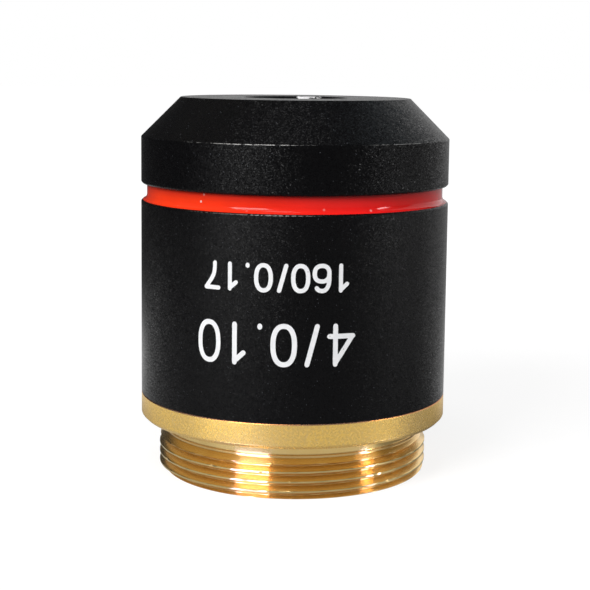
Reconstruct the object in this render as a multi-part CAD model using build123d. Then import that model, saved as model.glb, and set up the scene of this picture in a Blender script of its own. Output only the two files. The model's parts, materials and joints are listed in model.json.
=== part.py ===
"""Low-power microscope objective, 4x with aperture 0.10, standing on its threaded end.

Millimetres. The Z axis is the optical axis, with the nose up and the thread's end face at Z = 0.
Every piece is turned about Z, so each outline below is a list of (radius, height) points.
"""
import os
from math import hypot, sqrt

from build123d import *

# Outside of the body
BODY_DIAMETER = 23.0
EDGE_BREAK = 0.12

# Threaded mount: standard objective thread, relief groove and flange
THREAD_DIAMETER = 20.27
THREAD_LENGTH = 3.06
THREAD_DEPTH = 0.45
THREAD_CHAMFER = 0.25
RELIEF_HEIGHT = 0.92
RELIEF_UNDERCUT = 0.05
FLANGE_HEIGHT = 1.82
FLANGE_EDGE = 0.25
SPIGOT_HEIGHT = 3.5
SPIGOT_CHAMFER = 0.4
REAR_WALL = 0.8
REAR_BORE_DEPTH = 4.4
REAR_MOUTH_CHAMFER = 0.4

# Outer barrel: skirt over the mount's spigot, body, neck under the colour band, thread for the nose cap
SKIRT_WALL = 1.17
SKIRT_GAP = 0.3
BARREL_HEIGHT = 14.49
NECK_SCREW_HEIGHT = 2.5
NECK_WALL = 0.8

# Colour band: a coat of enamel in the groove, with a hollow meniscus at its foot
BAND_HEIGHT = 1.23
BAND_DEPTH = 0.43
BAND_THICKNESS = 0.17
BAND_MENISCUS = 0.42

# Nose cap
NOSE_SKIRT_HEIGHT = 3.45
NOSE_CONE_HEIGHT = 2.93
NOSE_FACE_DIAMETER = 17.14
NOSE_WALL = 1.17
NOSE_ROOF = 1.2
NOSE_HOLE_DIAMETER = 7.16
NOSE_HOLE_CHAMFER = 0.3
NOSE_GAP = 0.3

# Lens tube, with the shim under its flange and the ring nut that clamps it
SHIM_THICKNESS = 0.2
TUBE_WALL = 0.7
TUBE_FLANGE_HEIGHT = 1.0
TUBE_FLANGE_WIDTH = 1.0
TUBE_SEAT_WEB = 0.8
TUBE_SEAT_WIDTH = 0.8
TUBE_STAND = 0.3
LOCK_RING_HEIGHT = 1.3
LOCK_RING_WIDTH = 0.9

# Rear group: cemented doublet, stop and ring in a cell
DOUBLET_DIAMETER = 9.4
DOUBLET_RADIUS = 17.0
CROWN_THICKNESS = 2.8
FLINT_THICKNESS = 1.3
CEMENT = 0.01
STOP_THICKNESS = 0.4
STOP_REACH = 1.0
REAR_CELL_WALL = 0.6
REAR_CELL_WEB = 0.8
REAR_CELL_RECESS = 0.4
REAR_RING_HEIGHT = 1.0

# Front group: one meniscus lens and its ring in a cell
FRONT_LENS_DIAMETER = 8.8
FRONT_HOLLOW_RADIUS = 22.0
FRONT_DOME_RADIUS = 15.2
FRONT_THICKNESS = 1.6
FRONT_CELL_WALL = 1.6
FRONT_SPIGOT_WALL = 0.9
FRONT_SPIGOT_HEIGHT = 2.5
FRONT_SEAT_WEB = 0.9
FRONT_RING_HEIGHT = 0.9
FRONT_RING_RECESS = 0.1
SPIGOT_POCKET = 0.2

# Rings that hold lenses: how far they reach in from the lens edge, and their spanner slots
LENS_GRIP = 0.55
SLOT_WIDTH = 1.2
SLOT_DEPTH = 0.45

# Clearances on the radius, and the gap at a lens seat
SCREW_FIT = 0.03
SLIP_FIT = 0.02
LENS_FIT = 0.03
SEAT_GAP = 0.01


def sag(sphere_radius, at_radius):
    """Height of a spherical face above its vertex, at a distance from the axis."""
    return sphere_radius - sqrt(sphere_radius**2 - at_radius**2)


# Outside: radii and heights, from the thread's end up to the nose face
body_r = BODY_DIAMETER / 2
thread_r = THREAD_DIAMETER / 2
relief_r = thread_r - THREAD_DEPTH - RELIEF_UNDERCUT
rear_bore_r = relief_r - REAR_WALL
skirt_bore_r = body_r - SKIRT_WALL
spigot_r = skirt_bore_r - SCREW_FIT
band_r = body_r - BAND_DEPTH
neck_r = band_r - BAND_THICKNESS
nose_bore_r = body_r - NOSE_WALL
neck_screw_r = nose_bore_r - SCREW_FIT
barrel_bore_r = neck_screw_r - NECK_WALL
nose_face_r = NOSE_FACE_DIAMETER / 2
nose_hole_r = NOSE_HOLE_DIAMETER / 2

shoulder_z = THREAD_LENGTH + RELIEF_HEIGHT
flange_top_z = shoulder_z + FLANGE_HEIGHT
spigot_top_z = flange_top_z + SPIGOT_HEIGHT
band_z = flange_top_z + BARREL_HEIGHT
nose_z = band_z + BAND_HEIGHT
neck_top_z = nose_z + NECK_SCREW_HEIGHT
cone_z = nose_z + NOSE_SKIRT_HEIGHT
face_z = cone_z + NOSE_CONE_HEIGHT
roof_z = face_z - NOSE_ROOF

# Rear group: radii from the doublet outwards, heights down from the lens tube's flange
doublet_r = DOUBLET_DIAMETER / 2
rear_cell_bore_r = doublet_r + LENS_FIT
rear_cell_r = rear_cell_bore_r + REAR_CELL_WALL
tube_bore_r = rear_cell_r + SCREW_FIT
tube_r = tube_bore_r + TUBE_WALL
mount_bore_r = tube_r + SLIP_FIT
lock_ring_hole_r = tube_r + SCREW_FIT
lock_ring_r = lock_ring_hole_r + LOCK_RING_WIDTH
tube_flange_r = tube_r + TUBE_FLANGE_WIDTH
stop_hole_r = doublet_r - STOP_REACH

tube_flange_z = spigot_top_z + SHIM_THICKNESS
tube_flange_top_z = tube_flange_z + TUBE_FLANGE_HEIGHT
rear_seat_z = tube_flange_top_z - TUBE_SEAT_WEB
lock_ring_z = REAR_BORE_DEPTH - LOCK_RING_HEIGHT
tube_end_z = lock_ring_z - TUBE_STAND
rear_cell_z = tube_end_z + REAR_CELL_RECESS
stop_z = rear_seat_z - REAR_CELL_WEB - STOP_THICKNESS
flint_top_z = stop_z - SEAT_GAP
flint_vertex_z = flint_top_z - FLINT_THICKNESS
crown_top_z = flint_vertex_z - CEMENT
crown_vertex_z = crown_top_z - CROWN_THICKNESS
rear_ring_hole_r = doublet_r - LENS_GRIP
rear_ring_top_z = crown_vertex_z + sag(DOUBLET_RADIUS, rear_ring_hole_r) - SEAT_GAP
rear_ring_z = rear_ring_top_z - REAR_RING_HEIGHT

# Front group: radii from the front lens outwards, heights down from the nose cap's roof
front_lens_r = FRONT_LENS_DIAMETER / 2
front_cell_bore_r = front_lens_r + LENS_FIT
front_cell_r = front_cell_bore_r + FRONT_CELL_WALL
front_hole_r = front_lens_r - LENS_GRIP
front_spigot_r = front_hole_r + FRONT_SPIGOT_WALL
front_socket_r = front_spigot_r + SCREW_FIT
light_bore_r = tube_bore_r - TUBE_SEAT_WIDTH

front_cell_top_z = roof_z - NOSE_GAP
front_ring_top_z = front_cell_top_z - FRONT_RING_RECESS
front_ring_z = front_ring_top_z - FRONT_RING_HEIGHT
front_edge_z = front_ring_z - SEAT_GAP
front_hollow_z = front_edge_z - sag(FRONT_HOLLOW_RADIUS, front_lens_r)
front_dome_z = front_hollow_z - FRONT_THICKNESS
front_seat_z = front_dome_z + sag(FRONT_DOME_RADIUS, front_hole_r) - SEAT_GAP
tube_top_z = front_seat_z - FRONT_SEAT_WEB
front_spigot_z = tube_top_z - FRONT_SPIGOT_HEIGHT
front_socket_z = front_spigot_z - SPIGOT_POCKET


def turned(*outline):
    """Solid of revolution about Z from a closed outline of (radius, height) points."""
    with BuildPart() as piece:
        with BuildSketch(Plane.XZ):
            with BuildLine():
                Polyline(*outline, close=True)
            make_face()
        revolve(axis=Axis.Z)
    return piece.part


def lens(edge_r, bottom, bottom_edge, top, top_edge):
    """Round lens from the heights of its vertices and of the edges of its two faces.

    A face whose vertex and edge have the same height is flat, and any other is an arc through
    its vertex, as steep as its radius makes it.
    """
    with BuildPart() as piece:
        with BuildSketch(Plane.XZ):
            with BuildLine():
                lens_face((0, bottom), (edge_r, bottom_edge))
                Line((edge_r, bottom_edge), (edge_r, top_edge))
                lens_face((0, top), (edge_r, top_edge))
                Line((0, top), (0, bottom))
            make_face()
        revolve(axis=Axis.Z)
    return piece.part


def lens_face(vertex, edge):
    """One face of a lens, square to the axis at its vertex."""
    if vertex[1] == edge[1]:
        return Line(vertex, edge)
    return TangentArc(vertex, edge, tangent=(1, 0))


def spanner_slots(ring_r, face_z, direction):
    """Two slots across a ring's face, cut into it along the direction given by +1 or -1."""
    middle_z = face_z + direction * SLOT_DEPTH / 2
    return Location((0, 0, middle_z)) * Box(4 * ring_r, SLOT_WIDTH, SLOT_DEPTH)


def threaded_mount():
    """Brass mount: thread crest cylinder, relief, flange, spigot and stepped bore."""
    return turned(
        (rear_bore_r + REAR_MOUTH_CHAMFER, 0),
        (thread_r - THREAD_CHAMFER, 0),
        (thread_r, THREAD_CHAMFER),
        (thread_r, THREAD_LENGTH),
        (relief_r, THREAD_LENGTH),
        (relief_r, shoulder_z),
        (body_r - FLANGE_EDGE, shoulder_z),
        (body_r, shoulder_z + FLANGE_EDGE),
        (body_r, flange_top_z),
        (spigot_r, flange_top_z),
        (spigot_r, spigot_top_z - SPIGOT_CHAMFER),
        (spigot_r - SPIGOT_CHAMFER, spigot_top_z),
        (mount_bore_r, spigot_top_z),
        (mount_bore_r, REAR_BORE_DEPTH),
        (rear_bore_r, REAR_BORE_DEPTH),
        (rear_bore_r, REAR_MOUTH_CHAMFER),
    )


def outer_barrel():
    """Black sleeve that screws on the mount's spigot and carries the band and the nose cap."""
    skirt_top_z = spigot_top_z + SKIRT_GAP
    return turned(
        (skirt_bore_r, flange_top_z),
        (body_r, flange_top_z),
        (body_r, band_z - EDGE_BREAK),
        (body_r - EDGE_BREAK, band_z),
        (neck_r, band_z),
        (neck_r, nose_z),
        (neck_screw_r, nose_z),
        (neck_screw_r, neck_top_z),
        (barrel_bore_r, neck_top_z),
        (barrel_bore_r, skirt_top_z),
        (skirt_bore_r, skirt_top_z),
    )


def colour_band():
    """Enamel in the groove between barrel and nose cap, hollowed at its foot."""
    foot_r = body_r - EDGE_BREAK
    with BuildPart() as piece:
        with BuildSketch(Plane.XZ):
            with BuildLine():
                Line((neck_r, nose_z), (neck_r, band_z))
                Line((neck_r, band_z), (foot_r, band_z))
                TangentArc((band_r, band_z + BAND_MENISCUS), (foot_r, band_z), tangent=(0, -1))
                Line((band_r, band_z + BAND_MENISCUS), (band_r, nose_z))
                Line((band_r, nose_z), (neck_r, nose_z))
            make_face()
        revolve(axis=Axis.Z)
    return piece.part


def nose_cap():
    """Black cap with a conical front, screwed over the barrel's neck."""
    slant = hypot(body_r - nose_face_r, NOSE_CONE_HEIGHT)
    rise = NOSE_CONE_HEIGHT / (body_r - nose_face_r)
    inside_drop = NOSE_WALL * slant / (body_r - nose_face_r)
    inside_cone_z = cone_z - inside_drop + rise * (body_r - nose_bore_r)
    roof_r = nose_bore_r - (roof_z - inside_cone_z) / rise
    return turned(
        (nose_bore_r, nose_z),
        (body_r - EDGE_BREAK, nose_z),
        (body_r, nose_z + EDGE_BREAK),
        (body_r, cone_z),
        (nose_face_r, face_z),
        (nose_hole_r + NOSE_HOLE_CHAMFER, face_z),
        (nose_hole_r, face_z - NOSE_HOLE_CHAMFER),
        (nose_hole_r, roof_z),
        (roof_r, roof_z),
        (nose_bore_r, inside_cone_z),
    )


def parfocal_shim():
    """Thin washer under the lens tube's flange, which sets the focus height."""
    return turned(
        (mount_bore_r, spigot_top_z),
        (tube_flange_r, spigot_top_z),
        (tube_flange_r, tube_flange_z),
        (mount_bore_r, tube_flange_z),
    )


def lens_tube():
    """Inner tube: shank through the mount, clamping flange, and a socket for the front cell."""
    return turned(
        (tube_bore_r, tube_end_z),
        (tube_r, tube_end_z),
        (tube_r, tube_flange_z),
        (tube_flange_r, tube_flange_z),
        (tube_flange_r, tube_flange_top_z),
        (front_cell_r, tube_flange_top_z),
        (front_cell_r, tube_top_z),
        (front_socket_r, tube_top_z),
        (front_socket_r, front_socket_z),
        (light_bore_r, front_socket_z),
        (light_bore_r, rear_seat_z),
        (tube_bore_r, rear_seat_z),
    )


def lock_ring():
    """Ring nut on the tube's shank, drawn up against the mount's ledge."""
    nut = turned(
        (lock_ring_hole_r, lock_ring_z),
        (lock_ring_r, lock_ring_z),
        (lock_ring_r, REAR_BORE_DEPTH),
        (lock_ring_hole_r, REAR_BORE_DEPTH),
    )
    return nut - spanner_slots(lock_ring_r, lock_ring_z, 1)


def rear_cell():
    """Cell for the doublet, screwed into the tube from behind."""
    web_z = rear_seat_z - REAR_CELL_WEB
    cell = turned(
        (rear_cell_bore_r, rear_cell_z),
        (rear_cell_r, rear_cell_z),
        (rear_cell_r, rear_seat_z),
        (rear_ring_hole_r, rear_seat_z),
        (rear_ring_hole_r, web_z),
        (rear_cell_bore_r, web_z),
    )
    return cell - spanner_slots(rear_cell_r, rear_cell_z, 1)


def aperture_stop():
    """Blackened disc whose hole sets the aperture, against the cell's web."""
    return turned(
        (stop_hole_r, stop_z),
        (doublet_r, stop_z),
        (doublet_r, stop_z + STOP_THICKNESS),
        (stop_hole_r, stop_z + STOP_THICKNESS),
    )


def flint_lens():
    """Flat and hollow half of the doublet, flat side towards the nose."""
    hollow_edge_z = flint_vertex_z - sag(DOUBLET_RADIUS, doublet_r)
    return lens(doublet_r, flint_vertex_z, hollow_edge_z, flint_top_z, flint_top_z)


def crown_lens():
    """Doubly domed half of the doublet, cemented behind the flint."""
    dome_sag = sag(DOUBLET_RADIUS, doublet_r)
    return lens(
        doublet_r,
        crown_vertex_z,
        crown_vertex_z + dome_sag,
        crown_top_z,
        crown_top_z - dome_sag,
    )


def rear_retaining_ring():
    """Screwed ring that holds the doublet in its cell."""
    ring_r = rear_cell_bore_r - SLIP_FIT
    ring = turned(
        (rear_ring_hole_r, rear_ring_z),
        (ring_r, rear_ring_z),
        (ring_r, rear_ring_top_z),
        (rear_ring_hole_r, rear_ring_top_z),
    )
    return ring - spanner_slots(ring_r, rear_ring_z, 1)


def front_cell():
    """Cell for the front lens, screwed into the top of the tube."""
    cell = turned(
        (front_hole_r, front_spigot_z),
        (front_spigot_r, front_spigot_z),
        (front_spigot_r, tube_top_z),
        (front_cell_r, tube_top_z),
        (front_cell_r, front_cell_top_z),
        (front_cell_bore_r, front_cell_top_z),
        (front_cell_bore_r, front_seat_z),
        (front_hole_r, front_seat_z),
    )
    return cell - spanner_slots(front_cell_r, front_cell_top_z, -1)


def front_lens():
    """Weak meniscus just behind the nose hole, hollow side towards the specimen."""
    dome_edge_z = front_dome_z + sag(FRONT_DOME_RADIUS, front_lens_r)
    return lens(front_lens_r, front_dome_z, dome_edge_z, front_hollow_z, front_edge_z)


def front_retaining_ring():
    """Screwed ring that holds the front lens in its cell."""
    ring_r = front_cell_bore_r - SLIP_FIT
    ring = turned(
        (front_hole_r, front_ring_z),
        (ring_r, front_ring_z),
        (ring_r, front_ring_top_z),
        (front_hole_r, front_ring_top_z),
    )
    return ring - spanner_slots(ring_r, front_ring_top_z, -1)


PIECES = (
    threaded_mount,
    outer_barrel,
    colour_band,
    nose_cap,
    parfocal_shim,
    lens_tube,
    lock_ring,
    rear_cell,
    aperture_stop,
    flint_lens,
    crown_lens,
    rear_retaining_ring,
    front_cell,
    front_lens,
    front_retaining_ring,
)

os.makedirs("parts", exist_ok=True)
for make_piece in PIECES:
    node = make_piece.__name__
    solid = make_piece()
    export_step(solid, f"parts/{node}.step")
    print(f"{node}: {solid.volume:.1f} cubic mm")
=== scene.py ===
# %% [markdown]
# # A low-power microscope objective
# The object is a lens barrel about as big as a thimble, stood down on its own screw thread: a black nose
# cap with a light hole, a red enamel band, a black barrel with white numbers, a satin brass flange and a
# brass thread. The CAD solids already have every size. This script dresses them: it cuts the thread,
# engraves the numbers, breaks the sharp edges and gives each surface its finish. Everything is in metres,
# in the CAD's frame.

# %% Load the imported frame
import json
import math

import bpy
from mathutils import Matrix, Vector


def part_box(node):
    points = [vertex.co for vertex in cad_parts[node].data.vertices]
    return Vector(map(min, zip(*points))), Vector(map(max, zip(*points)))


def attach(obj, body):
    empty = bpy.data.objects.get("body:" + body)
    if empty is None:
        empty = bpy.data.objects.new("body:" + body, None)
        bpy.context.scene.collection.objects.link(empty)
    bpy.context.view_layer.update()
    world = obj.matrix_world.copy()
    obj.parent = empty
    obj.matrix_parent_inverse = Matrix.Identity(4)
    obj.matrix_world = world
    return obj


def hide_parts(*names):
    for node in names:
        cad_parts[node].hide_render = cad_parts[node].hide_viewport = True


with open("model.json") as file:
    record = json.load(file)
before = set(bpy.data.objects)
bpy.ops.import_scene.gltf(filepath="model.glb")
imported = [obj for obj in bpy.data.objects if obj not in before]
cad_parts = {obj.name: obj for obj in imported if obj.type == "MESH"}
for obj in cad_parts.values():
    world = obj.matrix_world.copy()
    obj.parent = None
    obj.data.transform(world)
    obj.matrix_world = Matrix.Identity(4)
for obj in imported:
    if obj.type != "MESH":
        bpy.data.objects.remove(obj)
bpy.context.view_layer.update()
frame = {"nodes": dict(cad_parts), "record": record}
MM = 0.001


# %% [markdown]
# ## The camera
# The camera stands a hand's length away and a little above the object, because the photograph shows a thin
# slice of the nose's face. Its place, tilt and focal length were fitted to the outline and to the curves of
# the edges. They could be tried by eye, but then the curves and the heights would never agree at once. A
# small vertical shift stands for the crop of the photograph.

# %% Camera
IMAGE_SIDE = 590
FOCAL_PIXELS = 1440.7
SENSOR = 36.0
CAMERA_PLACE = Vector((0.062, -108.18, 30.57)) * MM
CAMERA_TILT = 0.1268
CAMERA_ROLL = 0.0109
CROP_SHIFT_PIXELS = -50
NEAREST_SEEN = 5 * MM


def add_object(name, data):
    """A new object in the scene, with that data."""
    thing = bpy.data.objects.new(name, data)
    bpy.context.scene.collection.objects.link(thing)
    return thing


camera_data = bpy.data.cameras.new("photo_camera")
camera_data.sensor_width = SENSOR
camera_data.lens = SENSOR * FOCAL_PIXELS / IMAGE_SIDE
camera_data.shift_y = CROP_SHIFT_PIXELS / IMAGE_SIDE
camera_data.clip_start = NEAREST_SEEN
right = Vector((1, 0, 0))
ahead = Vector((0, math.cos(CAMERA_TILT), -math.sin(CAMERA_TILT)))
tilted = Matrix((right, -ahead.cross(right), -ahead)).transposed()
rolled = tilted @ Matrix.Rotation(CAMERA_ROLL, 3, "Z")
camera = add_object("photo_camera", camera_data)
camera.matrix_world = Matrix.Translation(CAMERA_PLACE) @ rolled.to_4x4()
bpy.context.scene.camera = camera
print("camera focal length in mm:", round(camera_data.lens, 2))

# %% [markdown]
# ## Short ways to add nodes
# Every finish and every rule-made shape below is a tree of nodes. A few helpers keep those trees readable:
# they add nodes and sums, open and link groups with named sockets, and give a place as radius, angle and
# height, a ramp between two values, a noise and random cells.

# %% Node helpers
def add_node(tree, kind, values=(), **options):
    """Add a node, set its options, then link or set the inputs that values names or numbers."""
    node = tree.nodes.new(kind)
    for option, choice in options.items():
        setattr(node, option, choice)
    for socket, value in dict(values).items():
        if isinstance(value, bpy.types.NodeSocket):
            tree.links.new(value, node.inputs[socket])
        else:
            node.inputs[socket].default_value = value
    return node


def made(tree, kind, values=(), **options):
    """Add a node in the same way, and give its first output."""
    return add_node(tree, kind, values, **options).outputs[0]


def calc(tree, operation, *operands):
    """One Math node on sockets or plain numbers."""
    return made(tree, "ShaderNodeMath", enumerate(operands), operation=operation)


def vectors(tree, operation, *operands):
    """One Vector Math node on sockets or plain vectors."""
    return made(tree, "ShaderNodeVectorMath", enumerate(operands), operation=operation)


def open_group(name, inputs, outputs, kind="ShaderNodeTree"):
    """A node group with sockets named by type; returns the tree, its input sockets and its output node."""
    tree = bpy.data.node_groups.new(name, kind)
    for in_out, named in (("INPUT", inputs), ("OUTPUT", outputs)):
        for socket_type, labels in named.items():
            for label in labels:
                tree.interface.new_socket(label, in_out=in_out, socket_type="NodeSocket" + socket_type)
    entry = tree.nodes.new("NodeGroupInput")
    return tree, entry.outputs, tree.nodes.new("NodeGroupOutput")


def connect(tree, node, **sources):
    """Link sockets to a node's inputs of these names."""
    for socket, source in sources.items():
        tree.links.new(source, node.inputs[socket.replace("_", " ")])


# %% Patterns of a place
def polar(tree, position):
    """Distance from the optical axis, angle about it and height, as three sockets."""
    parts = add_node(tree, "ShaderNodeSeparateXYZ", {0: position}).outputs
    flat = made(tree, "ShaderNodeCombineXYZ", {"X": parts["X"], "Y": parts["Y"]})
    radius = add_node(tree, "ShaderNodeVectorMath", {0: flat}, operation="LENGTH").outputs["Value"]
    return radius, calc(tree, "ARCTAN2", parts["Y"], parts["X"]), parts["Z"]


def ramp(tree, value, low, high, start=0.0, end=1.0, smooth=True):
    """Map a value from one range to another, with flat ends."""
    inputs = {"Value": value, "From Min": low, "From Max": high, "To Min": start, "To Max": end}
    kind = "SMOOTHSTEP" if smooth else "LINEAR"
    return made(tree, "ShaderNodeMapRange", inputs, interpolation_type=kind, clamp=True)


def noise(tree, position, scale, detail=2.0, distortion=0.0):
    """A cloudy pattern from 0 to 1; scale is in features per metre, or a socket."""
    inputs = {"Vector": position, "Scale": scale, "Detail": detail, "Distortion": distortion}
    return made(tree, "ShaderNodeTexNoise", inputs)


def cell_pattern(tree, position, scale):
    """Random cells that fill space; scale is in cells per metre."""
    inputs = {"Vector": position, "Scale": scale}
    return add_node(tree, "ShaderNodeTexVoronoi", inputs, voronoi_dimensions="3D", feature="F1").outputs


# %% [markdown]
# ## Finishes that several surfaces share
# Painted and blasted metal both have a fine grain with a few bright grains in it. Each grain is also a tiny
# facet that leans its own way, and the ones that happen to face a lamp flash: that is the sparkle. A bump
# map could lean the surface too, but it leans neighbours alike and gives waves, so every cell draws its own
# normal. Handling wears paint off the edges. A lathe leaves rings that follow the turn, and fingers leave
# faint clouds. Each effect is built once as a group, and each material sets its own sizes.

# %% Fine grain
grain, given, result = open_group("fine_grain", {
    "Vector": ["Position"], "Float": ["Size", "Fleck Share"]}, {"Float": ["Height", "Flecks"]})
per_metre = calc(grain, "DIVIDE", 1.0, given["Size"])
cells = cell_pattern(grain, given["Position"], per_metre)
draws = add_node(grain, "ShaderNodeSeparateColor", {0: cells["Color"]}).outputs
chosen = calc(grain, "GREATER_THAN", given["Fleck Share"], draws[0])
core = ramp(grain, cells["Distance"], 0.5, 0.2)
strength = calc(grain, "POWER", draws[1], 2.0)
flecks = calc(grain, "MULTIPLY", calc(grain, "MULTIPLY", chosen, core), strength)
connect(grain, result, Height=noise(grain, given["Position"], per_metre, 3.0), Flecks=flecks)
print("group:", grain.name)

# %% Sparkling facets
facets, given, result = open_group("sparkling_facets", {
    "Vector": ["Position"], "Float": ["Size", "Tilt"]}, {"Vector": ["Normal"], "Float": ["Shine"]})
cells = cell_pattern(facets, given["Position"], calc(facets, "DIVIDE", 1.0, given["Size"]))
lean = vectors(facets, "SUBTRACT", cells["Color"], (0.5, 0.5, 0.5))
lean = made(facets, "ShaderNodeVectorMath", {0: lean, "Scale": given["Tilt"]}, operation="SCALE")
smooth = add_node(facets, "ShaderNodeNewGeometry").outputs["Normal"]
facing = vectors(facets, "NORMALIZE", vectors(facets, "ADD", smooth, lean))
draw = add_node(facets, "ShaderNodeTexWhiteNoise", {"Vector": cells["Position"]}).outputs["Value"]
connect(facets, result, Normal=facing, Shine=calc(facets, "POWER", draw, 3.0))
print("group:", facets.name)

# %% Worn edge
wear, given, result = open_group("worn_edge", {
    "Vector": ["Position"],
    "Float": ["Edge Radius", "Edge Height", "Reach", "Patch Size", "Worn Side", "Spread"],
}, {"Float": ["Wear"]})
radius, angle, height = polar(wear, given["Position"])
across = calc(wear, "SUBTRACT", radius, given["Edge Radius"])
along = calc(wear, "SUBTRACT", height, given["Edge Height"])
squares = [calc(wear, "MULTIPLY", side, side) for side in (across, along)]
distance = calc(wear, "SQRT", calc(wear, "ADD", *squares))
ragged = noise(wear, given["Position"], calc(wear, "DIVIDE", 1.0, given["Patch Size"]), 4.0)
facing = calc(wear, "COSINE", calc(wear, "SUBTRACT", angle, given["Worn Side"]))
on_side = ramp(wear, facing, calc(wear, "COSINE", given["Spread"]), 1.0)
handled = calc(wear, "MULTIPLY", ramp(wear, ragged, 0.3, 0.58), on_side)
limit = calc(wear, "MULTIPLY", given["Reach"], handled)
soft = calc(wear, "MULTIPLY", given["Reach"], 0.35)
share = calc(wear, "DIVIDE", calc(wear, "SUBTRACT", limit, distance), soft)
connect(wear, result, Wear=ramp(wear, share, 0.0, 1.0))
print("group:", wear.name)

# %% Turning rings and handling clouds
rings, given, result = open_group("turning_rings", {
    "Vector": ["Position"], "Float": ["Spacing"]}, {"Float": ["Height"]})
radius, angle, height = polar(rings, given["Position"])
path = calc(rings, "DIVIDE", calc(rings, "ADD", radius, height), given["Spacing"])
along_path = {"W": path, "Scale": 1.0, "Detail": 3.0}
ring_noise = made(rings, "ShaderNodeTexNoise", along_path, noise_dimensions="1D")
connect(rings, result, Height=ring_noise)

clouds, given, result = open_group("handling_clouds", {
    "Vector": ["Position"], "Float": ["Size"]}, {"Float": ["Cloud"]})
cloud = noise(clouds, given["Position"], calc(clouds, "DIVIDE", 1.0, given["Size"]), 3.0, 0.6)
connect(clouds, result, Cloud=ramp(clouds, cloud, 0.3, 0.7))
print("groups:", rings.name, clouds.name)

# %% [markdown]
# ## Starting a material
# Each material is one Principled shader. Its pattern sits on Object coordinates, which are the CAD's metres,
# so a grain of 0.1 mm is written as 0.1 mm. Numbers that are the same all over go straight on the shader's
# sockets.

# %% Material helpers
def start_material(name, **constants):
    """A new material with its shader; constants sets the shader's own sockets."""
    material = bpy.data.materials.new(name)
    material.use_nodes = True
    tree = material.node_tree
    shader = next(node for node in tree.nodes if node.type == "BSDF_PRINCIPLED")
    for socket, value in constants.items():
        shader.inputs[socket.replace("_", " ")].default_value = value
    return material, tree, shader, tree.nodes.new("ShaderNodeTexCoord").outputs["Object"]


def use_group(tree, group, **values):
    """Place a shared group in a material with its own values."""
    inputs = {label.replace("_", " "): value for label, value in values.items()}
    return add_node(tree, "ShaderNodeGroup", inputs, node_tree=group).outputs


# %% Colours and bumps
def mix_colour(tree, mask, under, over, weight=None):
    """Lay one colour over another by a mask, weakened by weight; colours are sockets or plain."""
    if weight:
        mask = calc(tree, "MULTIPLY", mask, weight)
    colours = [(*value, 1.0) if isinstance(value, tuple) else value for value in (under, over)]
    inputs = {0: mask, 6: colours[0], 7: colours[1]}
    return add_node(tree, "ShaderNodeMix", inputs, data_type="RGBA").outputs[2]


def bump(tree, height, depth, strength):
    """A bump of that depth in metres."""
    inputs = {"Height": height, "Distance": depth, "Strength": strength}
    return add_node(tree, "ShaderNodeBump", inputs).outputs["Normal"]


def clouded(tree, place, size):
    """The mask of the handling clouds."""
    return use_group(tree, clouds, Position=place, Size=size)["Cloud"]


def tool_marks(tree, place, spacing, depth, strength):
    """A normal with turning rings."""
    return bump(tree, use_group(tree, rings, Position=place, Spacing=spacing)["Height"], depth, strength)


# %% [markdown]
# ## Reading the turned outlines
# The mount, barrel, band and nose cap were turned on a lathe, so a half outline says all about each of them.
# The outline could be typed in again, but reading it off the CAD node keeps the dressed piece on the solid.
# A face that looks away from the axis belongs to the outside, one that looks at it to the inside. The
# corners of each side are then sorted upwards.

# %% Outline of a turned CAD node
LEAST_LEAN = 0.2


def turned_outline(node):
    """Corners (radius, height) of a turned node: (outside going up, inside going up)."""
    mesh = frame["nodes"][node].data
    sides = {True: set(), False: set()}
    for face in mesh.polygons:
        for corner in (mesh.vertices[index].co for index in face.vertices):
            radius = math.hypot(corner.x, corner.y)
            lean = (face.normal.x * corner.x + face.normal.y * corner.y) / radius
            if abs(lean) > LEAST_LEAN:
                sides[lean > 0].add((round(radius, 6), round(corner.z, 6)))
    return upwards(sides[True]), upwards(sides[False])


def upwards(points):
    """Sort corners by height; those on one level go on from the radius that the last one had."""
    ordered = []
    for level in sorted({height for radius, height in points}):
        last = ordered[-1][0] if ordered else 0.0
        here = [radius for radius, height in points if height == level]
        ordered += [(radius, level) for radius in sorted(here, key=lambda radius: abs(radius - last))]
    return ordered


TURNED = ("threaded_mount", "outer_barrel", "colour_band", "nose_cap")
outlines = {node: turned_outline(node) for node in TURNED}
for node, (outside, inside) in outlines.items():
    print(node, "corners outside and inside:", len(outside), len(inside))

# %% [markdown]
# ## Turning an outline into a mesh
# A lathe leaves faces of revolution, and on a real piece every edge is broken a little, which shows as a
# line of light. A Bevel modifier could break the edges after turning. Here the corners of the outline are
# rounded first, because that takes fewer faces and the flat faces beside an edge stay flat.

# %% Broken corners
BREAK_STEPS = 5
NEARLY_STRAIGHT = math.radians(168)
LONGEST_BREAK = 0.35
SHADING_MARGIN = 0.3


def soften(outline, break_radius):
    """Round the corners of a closed outline, with a close point each side so that flat faces shade flat."""
    softened = []
    for index, point in enumerate(outline):
        corner = Vector(point)
        back = Vector(outline[index - 1]) - corner
        ahead = Vector(outline[(index + 1) % len(outline)]) - corner
        opening = back.angle(ahead)
        if opening > NEARLY_STRAIGHT:
            softened.append(tuple(corner))
            continue
        longest = LONGEST_BREAK * min(back.length, ahead.length)
        reach = min(break_radius / math.tan(opening / 2), longest)
        start = corner + back.normalized() * reach
        end = corner + ahead.normalized() * reach
        softened.append(tuple(start + back.normalized() * reach * SHADING_MARGIN))
        for step in range(BREAK_STEPS + 1):
            share = step / BREAK_STEPS
            softened.append(tuple(start.lerp(corner, share).lerp(corner.lerp(end, share), share)))
        softened.append(tuple(end + ahead.normalized() * reach * SHADING_MARGIN))
    return softened


# %% Lathe
TURN_STEPS = 360
SHARP_EDGE = math.radians(30)


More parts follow.
